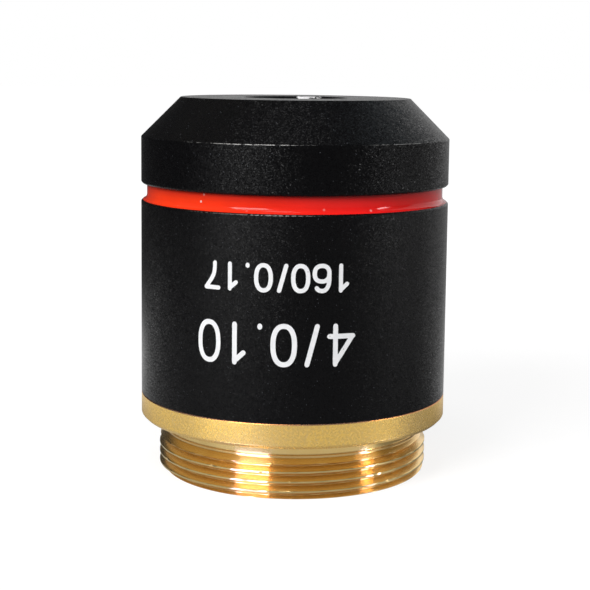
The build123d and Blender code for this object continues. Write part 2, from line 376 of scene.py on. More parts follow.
def show(name, mesh, materials=()):
    """Put a mesh in the scene as a smooth-shaded piece with sharp edges kept."""
    for material in materials:
        mesh.materials.append(material)
    mesh.shade_smooth()
    mesh.set_sharp_from_angle(angle=SHARP_EDGE)
    return add_object(name, mesh)


def lathe(name, outline, materials=()):
    """Turn a closed outline, given counter-clockwise as (radius, height), about the optical axis."""
    count = len(outline)
    angles = [math.tau * step / TURN_STEPS for step in range(TURN_STEPS)]
    points = [(r * math.cos(angle), r * math.sin(angle), z) for angle in angles for r, z in outline]
    faces = []
    for step in range(TURN_STEPS):
        here = step * count
        there = (step + 1) % TURN_STEPS * count
        for low in range(count):
            high = (low + 1) % count
            faces.append((here + low, there + low, there + high, here + high))
    mesh = bpy.data.meshes.new(name)
    mesh.from_pydata(points, [], faces)
    return show(name, mesh, materials)


# %% [markdown]
# ## Black paint
# The nose cap and the barrel have a fine-grained satin black on metal. A plain dark plastic shader looks
# dead next to it: the real coat has grains that catch the lamp, faint finger clouds, and bare metal where
# edges are handled. Most facets are dull and a share of them is smooth, so the lamps show as a soft glow
# with sharp points in it. Towards the outline the facets lie flat, because there one sees only their tops.
# The specular level is low, because the coat is matt between its grains.

# %% Black paint
BLACK = (0.0023, 0.0022, 0.0026)
GRAIN_GREY = (0.16, 0.17, 0.19)
BARE_METAL = (0.22, 0.216, 0.21)
RUBBED_METAL = (0.86, 0.85, 0.86)
FLECK_SIZE = 0.065 * MM
FLECK_SHARE = 0.018
FACET_TILT = 0.44
DULL = (0.30, 0.34)
SMOOTH = 0.09
BARE_ROUGHNESS = 0.45


def black_paint(name, facet_size, gloss, worn_edges):
    """Satin black, bare at edges of (radius, height, reach, patch size, worn side, spread, metal)."""
    material, tree, shader, place = start_material(name, Specular_IOR_Level=gloss)
    grains = use_group(tree, grain, Position=place, Size=FLECK_SIZE, Fleck_Share=FLECK_SHARE)
    colour = mix_colour(tree, grains["Flecks"], BLACK, GRAIN_GREY)
    worn = 0.0
    for radius, height, reach, patch, side, spread, metal in worn_edges:
        edge = use_group(tree, wear, Position=place, Edge_Radius=radius, Edge_Height=height, Reach=reach,
                         Patch_Size=patch, Worn_Side=math.radians(side), Spread=spread)["Wear"]
        colour = mix_colour(tree, edge, colour, metal)
        worn = calc(tree, "MAXIMUM", worn, edge)
    along = add_node(tree, "ShaderNodeLayerWeight").outputs["Facing"]
    rubbed = calc(tree, "SUBTRACT", ramp(tree, along, 0.6, 0.95, 1.0, 0.2), worn)
    tilt = calc(tree, "MULTIPLY", calc(tree, "MAXIMUM", rubbed, 0.0), FACET_TILT)
    facet = use_group(tree, facets, Position=place, Size=facet_size, Tilt=tilt)
    dull = ramp(tree, clouded(tree, place, 5 * MM), 0.0, 1.0, *DULL, smooth=False)
    rough = ramp(tree, facet["Shine"], 0.3, 0.55, dull, SMOOTH)
    rough = calc(tree, "MAXIMUM", rough, calc(tree, "MULTIPLY", worn, BARE_ROUGHNESS))
    connect(tree, shader, Base_Color=colour, Roughness=rough, Metallic=worn, Normal=facet["Normal"])
    return material


# %% [markdown]
# ## The nose cap
# A turned cap with a flat face, a 45 degree cone and a short cylinder. Its cone edge is the first thing that
# touches a table, so the paint is worn to a thin bright line there, and the rim of the light hole is rubbed
# bright on one side. The wear could be painted on by hand; a rule about the distance from an edge keeps it
# on that edge when a size changes.

# %% Nose cap
BODY_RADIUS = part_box("outer_barrel")[1].x
ON_RADIUS = 0.01 * MM
NOSE_BREAK = 0.12 * MM
CONE_LINE = BODY_RADIUS - 0.03 * MM
outside, inside = outlines["nose_cap"]
cone_edge = max(height for radius, height in outside if radius > BODY_RADIUS - ON_RADIUS)
hole_radius, hole_top = inside[-1]
nose_paint = black_paint("nose_black", 0.06 * MM, 0.075, [
    (CONE_LINE, cone_edge, 0.04 * MM, 0.5 * MM, -108, 0.65, BARE_METAL),
    (CONE_LINE, cone_edge, 0.03 * MM, 0.4 * MM, -50, 0.4, BARE_METAL),
    (hole_radius, hole_top - 0.15 * MM, 0.34 * MM, 0.6 * MM, 74, 0.36, RUBBED_METAL),
])
nose = lathe("nose_cap_painted", soften(outside + inside[::-1], NOSE_BREAK), [nose_paint])
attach(nose, "root")
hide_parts("nose_cap")
print("cone edge at", round(cone_edge / MM, 2), "mm; nose faces:", len(nose.data.polygons))

# %% [markdown]
# ## The red band
# The colour code is enamel, run into the groove between barrel and cap while wet, so its foot curves up the
# wall of the barrel. It is glossy, a little uneven, and has a few chips. A plain ring would do for the shape,
# but the CAD outline has that foot, so it is turned as it is. Under the cap a ramp over the height paints in
# the shadow of the cap, and round the right side, away from the big lamp, a darker crimson is painted as
# shade.

# %% Red band
RED = (1.0, 0.052, 0.010)
DEEP_RED = (0.62, 0.018, 0.010)
# painted shade: a darker crimson for the band's side away from the big lamp
SHADED_SIDE_CRIMSON = (0.86, 0.010, 0.014)
# painted shade: the colour of the cap's shadow on the top of the band
CAP_SHADOW_RED = (0.28, 0.010, 0.012)
CHIP = (0.9, 0.75, 0.7)
# the angle where the painted side shade is deepest
SHADED_SIDE_ANGLE = math.radians(-30)

red_enamel, tree, shader, place = start_material("band_red", Specular_IOR_Level=0.2)
radius, angle, height = polar(tree, place)
cloud = clouded(tree, place, 3 * MM)
chips = use_group(tree, grain, Position=place, Size=0.25 * MM, Fleck_Share=0.012)["Flecks"]
waves = noise(tree, place, 1 / (0.9 * MM), 1.0)
toward = calc(tree, "COSINE", calc(tree, "SUBTRACT", angle, SHADED_SIDE_ANGLE))
band_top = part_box("colour_band")[1].z
# painted shade: the band darkens towards its top, where the cap above casts its shadow
corner = ramp(tree, height, band_top - 0.7 * MM, band_top - 0.1 * MM, 0.0, 0.48)
# painted shade: round the right side, away from the big lamp, the band turns a darker crimson
colour = mix_colour(tree, ramp(tree, toward, -0.4, 0.9, 0.0, 0.9), RED, SHADED_SIDE_CRIMSON)
colour = mix_colour(tree, cloud, colour, DEEP_RED, 0.2)
colour = mix_colour(tree, corner, colour, CAP_SHADOW_RED)
colour = mix_colour(tree, chips, colour, CHIP)
connect(tree, shader, Base_Color=colour, Roughness=ramp(tree, cloud, 0.0, 1.0, 0.05, 0.1),
        Normal=bump(tree, waves, 0.01 * MM, 0.2))

outside, inside = outlines["colour_band"]
band = lathe("colour_band_enamel", outside + inside[::-1], [red_enamel])
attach(band, "root")
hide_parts("colour_band")
print("band faces:", len(band.data.polygons))

# %% [markdown]
# ## The numbers
# Magnification and aperture stand in large figures, tube length and cover glass in smaller ones above. They
# are cut by a small round cutter that follows a single line, then filled with white. The same is done here:
# each figure is a few strokes, and Geometry Nodes sweep a flat bar along them, put the cutter's round mark
# on every end and bend it all round the barrel. The bars cut the barrel once, and a thinner set of them is
# the fill. The figures are set one by one, because an engraver spaces them by eye. A text object would need
# a font, and gives outlines instead of strokes of one width.

# %% Round strokes
SQUARED = 0.86
ROUND = 0.555


def oval(width, low, high, first=0, last=360, steps=40):
    """Points on a slightly squared oval of that width between two heights, from one angle to another."""
    points = []
    for step in range(steps + 1):
        angle = math.radians(first + (last - first) * step / steps)
        across = math.copysign(abs(math.cos(angle)) ** SQUARED, math.cos(angle))
        up = math.copysign(abs(math.sin(angle)) ** SQUARED, math.sin(angle))
        points.append((width / 2 * (1 + across), (low + high) / 2 + (high - low) / 2 * up))
    return points[:-1] if last - first == 360 else points


# %% Figures
# figure: strokes as (closed, points), in figure heights from its first edge and its foot
FIGURES = {
    "0": [(True, oval(ROUND, 0, 1))],
    "1": [(False, [(0.27, 0.0), (0.27, 1.0)]), (False, [(0.025, 0.735), (0.235, 0.93)])],
    "4": [(False, [(0.475, 0.0), (0.475, 1.0)]), (False, [(0.0, 0.27), (0.635, 0.27)]),
          (False, [(0.02, 0.275), (0.465, 0.955)])],
    "6": [(True, oval(ROUND, 0, 0.62)), (False, oval(ROUND, 0, 1, 47, 196))],
    "7": [(False, [(0.0, 1.0), (0.545, 1.0)]),
          (False, [(0.53, 0.98), (0.455, 0.875), (0.31, 0.667), (0.212, 0.48), (0.172, 0.3), (0.155, 0.0)])],
    "/": [(False, [(0.0, 0.0), (0.26, 1.0)])],
    ".": [(False, [(0.0, 0.01), (0.0, 0.045)])],
}
print("figures:", " ".join(FIGURES))


# %% A line of figures
def write_line(name, height, stroke, middle, stretch, places):
    """A flat curve of figures, upside down as on the object; places gives each figure's first edge."""
    curve = bpy.data.curves.new(name, "CURVE")
    curve.dimensions = "3D"
    skeleton = height - stroke
    for figure, edge in places:
        for closed, points in FIGURES[figure]:
            spline = curve.splines.new("POLY")
            spline.points.add(len(points) - 1)
            spline.use_cyclic_u = closed
            for spot, (x, y) in zip(spline.points, points):
                u = edge * MM - stroke / 2 - x * stretch * skeleton
                v = middle - (y - 0.5) * skeleton
                spot.co = (u, v, 0.0, 1.0)
    print(name, "has", len(curve.splines), "strokes")
    return add_object(name, curve)


# %% Bars along the strokes
STROKE_STEP = 0.08 * MM
MARK_CORNERS = 24
MARK_SHARE = 0.475
# corners closer than this are one corner: cutting leaves slivers
WELD = 0.0005 * MM
bars, given, result = open_group("engraved_bars", {
    "Geometry": ["Strokes"], "Float": ["Stroke Width", "Bottom", "Top", "Barrel Radius"],
    "Material": ["Material"],
}, {"Geometry": ["Bars"]}, "GeometryNodeTree")
spaced = {"Curve": given["Strokes"], "Length": STROKE_STEP}
even = made(bars, "GeometryNodeResampleCurve", spaced, mode="LENGTH")
level = made(bars, "GeometryNodeSetCurveNormal", {"Curve": even}, mode="Z_UP")
thickness = calc(bars, "SUBTRACT", given["Top"], given["Bottom"])
section_sizes = {"Width": given["Stroke Width"], "Height": thickness}
section = made(bars, "GeometryNodeCurvePrimitiveQuadrilateral", section_sizes, mode="RECTANGLE")
swept = made(bars, "GeometryNodeCurveToMesh", {"Curve": level, "Profile Curve": section, "Fill Caps": True})
mark_radius = calc(bars, "MULTIPLY", given["Stroke Width"], MARK_SHARE)
cutter_mark = made(bars, "GeometryNodeMeshCylinder", {
    "Vertices": MARK_CORNERS, "Radius": mark_radius, "Depth": thickness})
ends = made(bars, "GeometryNodeCurveEndpointSelection", {"Start Size": 1, "End Size": 1})
closed = made(bars, "GeometryNodeInputSplineCyclic")
open_ends = made(bars, "FunctionNodeBooleanMath", {0: ends, 1: closed}, operation="NIMPLY")
marks = made(bars, "GeometryNodeInstanceOnPoints", {
    "Points": level, "Selection": open_ends, "Instance": cutter_mark})
both = add_node(bars, "GeometryNodeJoinGeometry")
for part in (swept, made(bars, "GeometryNodeRealizeInstances", {0: marks})):
    bars.links.new(part, both.inputs[0])
joined = made(bars, "GeometryNodeMeshBoolean", {"Mesh 2": both.outputs[0], "Self Intersection": True},
              operation="UNION", solver="EXACT")
welded = made(bars, "GeometryNodeMergeByDistance", {"Geometry": joined, "Distance": WELD})

# %% Bars bent round the barrel
flat_place = made(bars, "GeometryNodeInputPosition")
flat = add_node(bars, "ShaderNodeSeparateXYZ", {0: flat_place}).outputs
half_way = calc(bars, "MULTIPLY", calc(bars, "ADD", given["Top"], given["Bottom"]), 0.5)
turned_by = calc(bars, "DIVIDE", flat["X"], given["Barrel Radius"])
around = calc(bars, "SUBTRACT", turned_by, math.pi / 2)
out = calc(bars, "ADD", calc(bars, "ADD", given["Barrel Radius"], half_way), flat["Z"])
bent = made(bars, "ShaderNodeCombineXYZ", {
    "X": calc(bars, "MULTIPLY", out, calc(bars, "COSINE", around)),
    "Y": calc(bars, "MULTIPLY", out, calc(bars, "SINE", around)), "Z": flat["Y"]})
placed = made(bars, "GeometryNodeSetPosition", {"Geometry": welded, "Position": bent})
whole = made(bars, "GeometryNodeRealizeInstances", {0: placed})
filled = made(bars, "GeometryNodeSetMaterial", {"Geometry": whole, "Material": given["Material"]})
connect(bars, result, Bars=filled)


def modified_mesh(piece):
    """The plain mesh that a piece's modifiers make; the modifiers come off."""
    evaluated = piece.evaluated_get(bpy.context.evaluated_depsgraph_get())
    mesh = bpy.data.meshes.new_from_object(evaluated)
    piece.modifiers.clear()
    return mesh


def run_tree(piece, tree, **values):
    """Run a Geometry Nodes tree on a piece with these inputs, and give the plain mesh."""
    modifier = piece.modifiers.new(tree.name, "NODES")
    modifier.node_group = tree
    sockets = {item.name: item.identifier for item in tree.interface.items_tree if item.in_out == "INPUT"}
    for label, value in values.items():
        modifier[sockets[label.replace("_", " ")]] = value
    return modified_mesh(piece)


print("tree:", bars.name, "with", len(bars.nodes), "nodes")

# %% White fill
FILL_WHITE = (0.95, 0.95, 0.96)
FILL_SHADE = (0.82, 0.83, 0.86)
FILL_DIRT = (0.25, 0.22, 0.2)
fill_white, tree, shader, place = start_material("number_white", Specular_IOR_Level=0.3)
cloud = clouded(tree, place, 0.5 * MM)
grains = use_group(tree, grain, Position=place, Size=0.12 * MM, Fleck_Share=0.02)
colour = mix_colour(tree, cloud, FILL_WHITE, FILL_SHADE, 0.5)
colour = mix_colour(tree, grains["Flecks"], colour, FILL_DIRT)
connect(tree, shader, Base_Color=colour, Roughness=ramp(tree, cloud, 0.0, 1.0, 0.5, 0.7),
        Normal=bump(tree, grains["Height"], 0.02 * MM, 0.4))
print("finish:", fill_white.name)

# %% Number lines
# line: (height, stroke, middle height, stretch, figures with their first edges in mm round the barrel)
NUMBER_LINES = {
    "power_line": (3.03 * MM, 0.358 * MM, 11.31 * MM, 1.0, [
        ("4", 4.388), ("/", 1.838), ("0", 0.281), (".", -2.126), ("1", -3.221), ("0", -5.186)]),
    "tube_line": (2.035 * MM, 0.306 * MM, 15.95 * MM, 1.06, [
        ("1", 3.917), ("6", 2.599), ("0", 1.137), ("/", -0.363),
        ("0", -1.414), (".", -3.044), ("1", -3.841), ("7", -5.207)]),
}
ENGRAVED = 0.06 * MM
FILL_BELOW = 0.012 * MM
cutters = []
fills = []
for name, (height, stroke, middle, stretch, places) in NUMBER_LINES.items():
    line = write_line(name, height, stroke, middle, stretch, places)
    sizes = {"Stroke_Width": stroke, "Barrel_Radius": BODY_RADIUS, "Material": fill_white}
    cutters.append(show(name + "_cutter", run_tree(line, bars, Bottom=-ENGRAVED, Top=ENGRAVED, **sizes)))
    fills.append(show(name + "_fill", run_tree(line, bars, Bottom=-ENGRAVED, Top=-FILL_BELOW, **sizes)))
    bpy.data.curves.remove(line.data)
for piece in fills:
    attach(piece, "root")
print("fill faces:", [len(piece.data.polygons) for piece in fills])

# %% [markdown]
# ## The barrel
# A plain painted sleeve over the lens tube. The number bars are subtracted from it with exact booleans, so
# the figures are real grooves with an edge that catches light; a bump map would shade them, but leave the
# mesh flat. The cuts break the wall into odd faces, so its normals are set straight out again. The top edge
# of the barrel frames the red band, and has lost specks of paint there.

# %% Barrel
BARREL_BREAK = 0.08 * MM
outside, inside = outlines["outer_barrel"]
rim_height = max(height for radius, height in outside if radius > BODY_RADIUS - ON_RADIUS)
barrel_paint = black_paint("barrel_black", 0.045 * MM, 0.10, [
    (BODY_RADIUS - 0.05 * MM, rim_height + 0.03 * MM, 0.045 * MM, 0.2 * MM, -105, 0.6, BARE_METAL)])
barrel = lathe("outer_barrel_painted", soften(outside + inside[::-1], BARREL_BREAK), [barrel_paint])
for cutter in cutters:
    cut = barrel.modifiers.new(cutter.name, "BOOLEAN")
    cut.operation = "DIFFERENCE"
    cut.solver = "EXACT"
    cut.object = cutter
weld = barrel.modifiers.new("weld", "WELD")
weld.merge_threshold = WELD
barrel.data = modified_mesh(barrel)
for cutter in cutters:
    bpy.data.meshes.remove(cutter.data)
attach(barrel, "root")
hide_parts("outer_barrel")
print("barrel faces:", len(barrel.data.polygons), "materials:", len(barrel.data.materials))

# %% Smooth wall round the figures
ALIGNED = 0.999
WALL_DEPTH = 0.002 * MM
normals = [corner.vector.copy() for corner in barrel.data.corner_normals]
straightened = 0
for face in barrel.data.polygons:
    for loop in face.loop_indices:
        point = barrel.data.vertices[barrel.data.loops[loop].vertex_index].co
        outward = Vector((point.x, point.y, 0)).normalized()
        if face.normal.dot(outward) > ALIGNED and point.xy.length > BODY_RADIUS - WALL_DEPTH:
            normals[loop] = outward
            straightened += 1
barrel.data.normals_split_custom_set(normals)
print("corners with a normal straight out:", straightened)

# %% [markdown]
# ## Brass
# One piece of brass carries three finishes. The flange was blasted to a dull satin and has a thin clear
# lacquer, which adds a white sheen to the yellow one. The neck in the relief groove is bright from the tool.
# On the thread the tool marks run round, so a lamp is drawn out into upright bands; that is an anisotropic
# finish, and a round lobe would give blurred spots instead.

# %% Brass colours and thread sizes
BRASS = (0.85, 0.59, 0.22)
SATIN_BRASS = (0.97, 0.60, 0.085)
PALE_BRASS = (0.93, 0.73, 0.35)
OLIVE_BRASS = (0.62, 0.43, 0.14)
FLANK_BRASS = (0.93, 0.65, 0.28)
# painted shade: the deeper colour for the thread's roots
ROOT_SHADE_BRASS = (0.78, 0.52, 0.21)
CREST_BRASS = (0.76, 0.58, 0.26)
# painted reflection: the orange of the thin line along the flange's top edge
RIM_REFLECTION_ORANGE = (0.62, 0.22, 0.05)
MOUNTS = {mount["name"]: mount for mount in frame["record"]["mounts"]}
SHOULDER_HEIGHT = MOUNTS["shoulder_seat"]["pos_m"][2]
FLANGE_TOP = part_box("outer_barrel")[0].z
THREAD_RADIUS = MOUNTS["objective_thread"]["dims"]["r_mm"] * MM
PITCH = 25.4 * MM / 36
THREAD_DEPTH = 0.52 * MM
crest_heights = [height for radius, height in outlines["threaded_mount"][0]
                 if abs(radius - THREAD_RADIUS) < ON_RADIUS]
THREAD_TOP = max(crest_heights)
print("thread radius and length in mm:", round(THREAD_RADIUS / MM, 3), round(THREAD_TOP / MM, 2))

# %% Satin flange
satin_brass, tree, shader, place = start_material(
    "flange_satin_brass", Metallic=1.0, Coat_Roughness=0.6, Coat_IOR=1.8)
flecks = use_group(tree, grain, Position=place, Size=0.08 * MM, Fleck_Share=0.16)["Flecks"]
mottle = ramp(tree, noise(tree, place, 1 / (0.16 * MM), 4.0), 0.4, 0.62)
colour = mix_colour(tree, clouded(tree, place, 2.5 * MM), SATIN_BRASS, OLIVE_BRASS, 0.15)
colour = mix_colour(tree, mottle, colour, OLIVE_BRASS, 0.35)
colour = mix_colour(tree, flecks, colour, PALE_BRASS)
# painted reflection: the top 0.05 mm of the flange, against the black barrel, is painted orange
rim_reflection = ramp(tree, polar(tree, place)[2], FLANGE_TOP - 0.10 * MM, FLANGE_TOP - 0.05 * MM)
colour = mix_colour(tree, rim_reflection, colour, RIM_REFLECTION_ORANGE)
along = add_node(tree, "ShaderNodeLayerWeight").outputs["Facing"]
connect(tree, shader, Base_Color=colour, Roughness=ramp(tree, mottle, 0.0, 1.0, 0.26, 0.34),
        Coat_Weight=ramp(tree, along, 0.4, 0.85, 1.0, 0.1),
        Normal=use_group(tree, facets, Position=place, Size=0.06 * MM, Tilt=0.07)["Normal"])
print("finish:", satin_brass.name)

# %% Bright neck and tooled thread
bright_brass, tree, shader, place = start_material("neck_bright_brass", Metallic=1.0)
cloud = clouded(tree, place, 1.5 * MM)
colour = mix_colour(tree, cloud, BRASS, PALE_BRASS, 0.4)
connect(tree, shader, Base_Color=colour, Roughness=ramp(tree, cloud, 0.0, 1.0, 0.12, 0.16),
        Normal=tool_marks(tree, place, 0.05 * MM, 0.002 * MM, 0.3))

tooled_brass, tree, shader, place = start_material(
    "thread_tooled_brass", Metallic=1.0, Anisotropic=0.97, Anisotropic_Rotation=0.25)
radius = polar(tree, place)[0]
# painted shade: the thread darkens from the flanks down into the roots, where the groove lies in shade
flank = ramp(tree, radius, THREAD_RADIUS - THREAD_DEPTH, THREAD_RADIUS - 0.3 * THREAD_DEPTH)
crest = ramp(tree, radius, THREAD_RADIUS - 0.05 * MM, THREAD_RADIUS - 0.01 * MM)
colour = mix_colour(tree, crest, mix_colour(tree, flank, ROOT_SHADE_BRASS, FLANK_BRASS), CREST_BRASS)
connect(tree, shader, Base_Color=colour,
        Roughness=ramp(tree, clouded(tree, place, 1.5 * MM), 0.0, 1.0, 0.21, 0.24),
        Tangent=made(tree, "ShaderNodeTangent", direction_type="RADIAL", axis="Z"),
        Normal=tool_marks(tree, place, 0.05 * MM, 0.002 * MM, 0.3))
print("finishes:", bright_brass.name, tooled_brass.name)

# %% [markdown]
# ## The threaded mount
# The objective thread is 0.8 inch by 36 to the inch, right-handed, with 55 degree flanks. In the CAD it is a
# plain cylinder over the crests. A thread is a rule, radius as a function of angle and height, so Geometry
# Nodes cut it into a lathe mesh with close rows. The groove runs out over the chamfers at both ends, as it
# does when a tool passes through them, and a noise presses small knocks into the crests. A helix swept along
# a curve would have to be joined to the blank, and its ends would stay blunt.

# %% Thread rule
cut_thread, given, result = open_group("cut_thread", {
    "Geometry": ["Blank"],
    "Float": ["Pitch", "Crest Radius", "Depth", "Crest Flat", "Root Flat", "Root Phase", "Thread Top",
              "Inner Limit", "Shoulder", "Run Out Start", "Run Out End", "Finish Top", "Dent Size",
              "Dent Depth"],
    "Material": ["Neck Metal", "Thread Metal", "Flange Metal"],
}, {"Geometry": ["Mount"]}, "GeometryNodeTree")
tree = cut_thread
position = made(tree, "GeometryNodeInputPosition")
radius, angle, height = polar(tree, position)
turns_up = calc(tree, "DIVIDE", height, given["Pitch"])
phase = calc(tree, "SUBTRACT", turns_up, calc(tree, "DIVIDE", angle, math.tau))
from_phase = calc(tree, "SUBTRACT", phase, given["Root Phase"])
centred = calc(tree, "FRACT", calc(tree, "ADD", from_phase, 0.5))
off_root = calc(tree, "ABSOLUTE", calc(tree, "SUBTRACT", centred, 0.5))
from_root = calc(tree, "MULTIPLY", off_root, given["Pitch"])
flank_start = calc(tree, "MULTIPLY", given["Root Flat"], 0.5)
flank_end = calc(tree, "MULTIPLY", calc(tree, "SUBTRACT", given["Pitch"], given["Crest Flat"]), 0.5)
dip = ramp(tree, from_root, flank_start, flank_end, 1.0, 0.0, smooth=False)
groove = calc(tree, "MULTIPLY", dip, given["Depth"])
groove_radius = calc(tree, "SUBTRACT", given["Crest Radius"], groove)
root_radius = calc(tree, "SUBTRACT", given["Crest Radius"], given["Depth"])

# %% Run-out and knocks
run_out = ramp(tree, height, given["Run Out Start"], given["Run Out End"], given["Crest Radius"],
               root_radius, smooth=False)
knocks = noise(tree, position, calc(tree, "DIVIDE", 1.0, given["Dent Size"]), 0.0)
dent = calc(tree, "MULTIPLY", ramp(tree, knocks, 0.70, 0.77), given["Dent Depth"])
dented_radius = calc(tree, "SUBTRACT", given["Crest Radius"], dent)
kept_radius = radius
for allowed in (groove_radius, run_out, dented_radius):
    kept_radius = calc(tree, "MINIMUM", kept_radius, allowed)
shrink = calc(tree, "DIVIDE", kept_radius, radius)
factors = made(tree, "ShaderNodeCombineXYZ", {"X": shrink, "Y": shrink, "Z": 1.0})
squeezed = vectors(tree, "MULTIPLY", position, factors)

# %% Thread cut and finishes
outer = calc(tree, "GREATER_THAN", radius, given["Inner Limit"])
on_thread = calc(tree, "MULTIPLY", outer, calc(tree, "LESS_THAN", height, given["Thread Top"]))
tooled = calc(tree, "MULTIPLY", outer, calc(tree, "LESS_THAN", height, given["Finish Top"]))
above = calc(tree, "GREATER_THAN", height, given["Shoulder"])
cut = made(tree, "GeometryNodeSetPosition", {
    "Geometry": given["Blank"], "Selection": on_thread, "Position": squeezed})
welded = made(tree, "GeometryNodeMergeByDistance", {"Geometry": cut, "Distance": WELD})
metal = made(tree, "GeometryNodeRealizeInstances", {0: welded})
for where, finish in ((True, "Neck Metal"), (tooled, "Thread Metal"), (above, "Flange Metal")):
    metal = made(tree, "GeometryNodeSetMaterial", {
        "Geometry": metal, "Selection": where, "Material": given[finish]})
connect(tree, result, Mount=metal)
print("tree:", cut_thread.name, "with", len(cut_thread.nodes), "nodes")

# %% Blank for the thread
ROWS_PER_PITCH = 30
MOUNT_BREAK = 0.10 * MM
HAIR = 0.001 * MM
outside, inside = outlines["threaded_mount"]
end_radius = outside[0][0]
bore_edge = max(radius for radius, height in inside)
chamfer_end = crest_heights[0]
rows = int(ROWS_PER_PITCH * THREAD_TOP / PITCH)
thread_rows = []
for row in range(rows + 1):
    height = THREAD_TOP * row / rows
    share = min(1.0, height / chamfer_end)
    thread_rows.append((end_radius + (THREAD_RADIUS - end_radius) * share, height))
blank = [corner for corner in soften(outside + inside[::-1], MOUNT_BREAK) if not (
    corner[0] > THREAD_RADIUS - 0.9 * THREAD_DEPTH and corner[1] < THREAD_TOP)]
joint = next(index for index, corner in enumerate(blank) if corner[1] >= THREAD_TOP - HAIR)
mount = lathe("threaded_mount_brass", thread_rows + blank[joint:])
print("rows along the thread:", rows)

# %% Threaded mount
RUN_OUT_START = 2.36 * MM
mount.data = run_tree(
    mount, cut_thread, Pitch=PITCH, Crest_Radius=THREAD_RADIUS, Depth=THREAD_DEPTH, Crest_Flat=0.12 * MM,
    Root_Flat=0.05 * MM, Root_Phase=0.556, Thread_Top=THREAD_TOP + HAIR, Finish_Top=THREAD_TOP + 0.16 * MM,
    Inner_Limit=(bore_edge + end_radius - THREAD_DEPTH) / 2, Shoulder=SHOULDER_HEIGHT + HAIR,
    Run_Out_Start=RUN_OUT_START, Run_Out_End=RUN_OUT_START + THREAD_DEPTH, Dent_Size=0.6 * MM,
    Dent_Depth=0.05 * MM, Neck_Metal=bright_brass, Thread_Metal=tooled_brass, Flange_Metal=satin_brass)
mount.data.set_sharp_from_angle(angle=SHARP_EDGE)
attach(mount, "root")
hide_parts("threaded_mount")
print("mount faces:", len(mount.data.polygons), "materials:", [slot.name for slot in mount.data.materials])

# %% [markdown]
# ## The parts inside
# Through the light hole and the rear well one sees the lens cells, their rings and the lenses. They could be
# turned again like the outside, but nobody sees their edges, and their CAD solids already have the right
# shape. So these stay, and only get their finishes: matt black against stray light, rolled brass for the
# shim and coated glass.

# %% Inner finishes
blackened, tree, shader, place = start_material("blackened_metal", Specular_IOR_Level=0.35)
cloud = clouded(tree, place, 1.2 * MM)
colour = mix_colour(tree, cloud, (0.012, 0.012, 0.013), (0.030, 0.029, 0.028))
connect(tree, shader, Base_Color=colour, Roughness=ramp(tree, cloud, 0.0, 1.0, 0.45, 0.6),
        Normal=tool_marks(tree, place, 0.06 * MM, 0.006 * MM, 0.6))

shim_brass, tree, shader, place = start_material("rolled_shim_brass", Metallic=1.0)
cloud = clouded(tree, place, 1.5 * MM)
connect(tree, shader, Base_Color=mix_colour(tree, cloud, BRASS, PALE_BRASS),
        Roughness=ramp(tree, cloud, 0.0, 1.0, 0.25, 0.4),
        Normal=tool_marks(tree, place, 0.08 * MM, 0.004 * MM, 0.5))

lens_glass, tree, shader, place = start_material(
    "coated_lens_glass", Transmission_Weight=1.0, IOR=1.52, Thin_Film_Thickness=110.0, Thin_Film_IOR=1.38)
cloud = clouded(tree, place, 1.8 * MM)
connect(tree, shader, Base_Color=mix_colour(tree, cloud, (0.97, 0.98, 1.0), (0.93, 0.95, 0.98)),
        Roughness=ramp(tree, cloud, 0.0, 1.0, 0.0, 0.02))

INNER_FINISH = {"blackened_metal": blackened, "shim_brass": shim_brass, "optical_glass": lens_glass}
inner = [part for part in frame["record"]["subparts"] if part["material_slot"] in INNER_FINISH]
for part in inner:
    frame["nodes"][part["node"]].material_slots[0].material = INNER_FINISH[part["material_slot"]]
print("inner nodes dressed:", len(inner))

# %% [markdown]
# ## Floor, light and view
# The photograph shows the object on plain white under two soft lamps: a broad one to the left of the camera,
# which makes the bright band on the thread, and a narrow one far to the right. A third, small one overhead
# makes the cone sparkle. The floor is a large pale disc that keeps the shadow. A backdrop that curves up
# would hide its far edge, but white on white shows none. The world is white where it is seen, and weaker as
# a light.

# %% Floor
FLOOR_RADIUS = 1.5
FLOOR_HEIGHT = -0.01 * MM
FLOOR_STEPS = 96
PAPER_GREYS = ((0.25, 0.25, 0.25), (0.23, 0.23, 0.23))
WHITE = (1, 1, 1, 1)


def seen_ray(tree):
    """1 for rays that show a surface: from the camera, off gloss and through glass."""
    rays = add_node(tree, "ShaderNodeLightPath").outputs
    shown = calc(tree, "MAXIMUM", rays["Is Camera Ray"], rays["Is Glossy Ray"])
    return calc(tree, "MAXIMUM", shown, rays["Is Transmission Ray"])


floor_white, tree, shader, place = start_material(
    "floor_white", Roughness=0.9, Specular_IOR_Level=0.0, Emission_Color=WHITE)
connect(tree, shader, Base_Color=mix_colour(tree, noise(tree, place, 400.0), *PAPER_GREYS))
lift = ramp(tree, polar(tree, place)[0], 0.02, 0.12, 0.85, 1.0)
connect(tree, shader, Emission_Strength=calc(tree, "MULTIPLY", seen_ray(tree), lift))
rim = [math.tau * step / FLOOR_STEPS for step in range(FLOOR_STEPS)]
corners = [(FLOOR_RADIUS * math.cos(a), FLOOR_RADIUS * math.sin(a), FLOOR_HEIGHT) for a in rim]
floor_mesh = bpy.data.meshes.new("floor")
floor_mesh.from_pydata(corners, [], [tuple(range(FLOOR_STEPS))])
floor = show("floor", floor_mesh, [floor_white])
print("floor radius in metres:", FLOOR_RADIUS)

# %% [markdown]
# ## What the surfaces mirror
# Glossy paint and metal show the room more than their own colour. The room here is a set of cards, bands
# round the axis that only reflections see: a grey wall in front, a dark one to the left, a roof with a
# window in it, and the table top. On the table the lamps leave a glow, stronger at some distances, because
# each part of the object looks at another ring of it. Two low strips beside the thread are the lamps' glow
# close by. A picture of a room could do this too, but a card says what it is for and can be set one zone at
# a time.

# %% Studio card
CARD_STEPS = 48


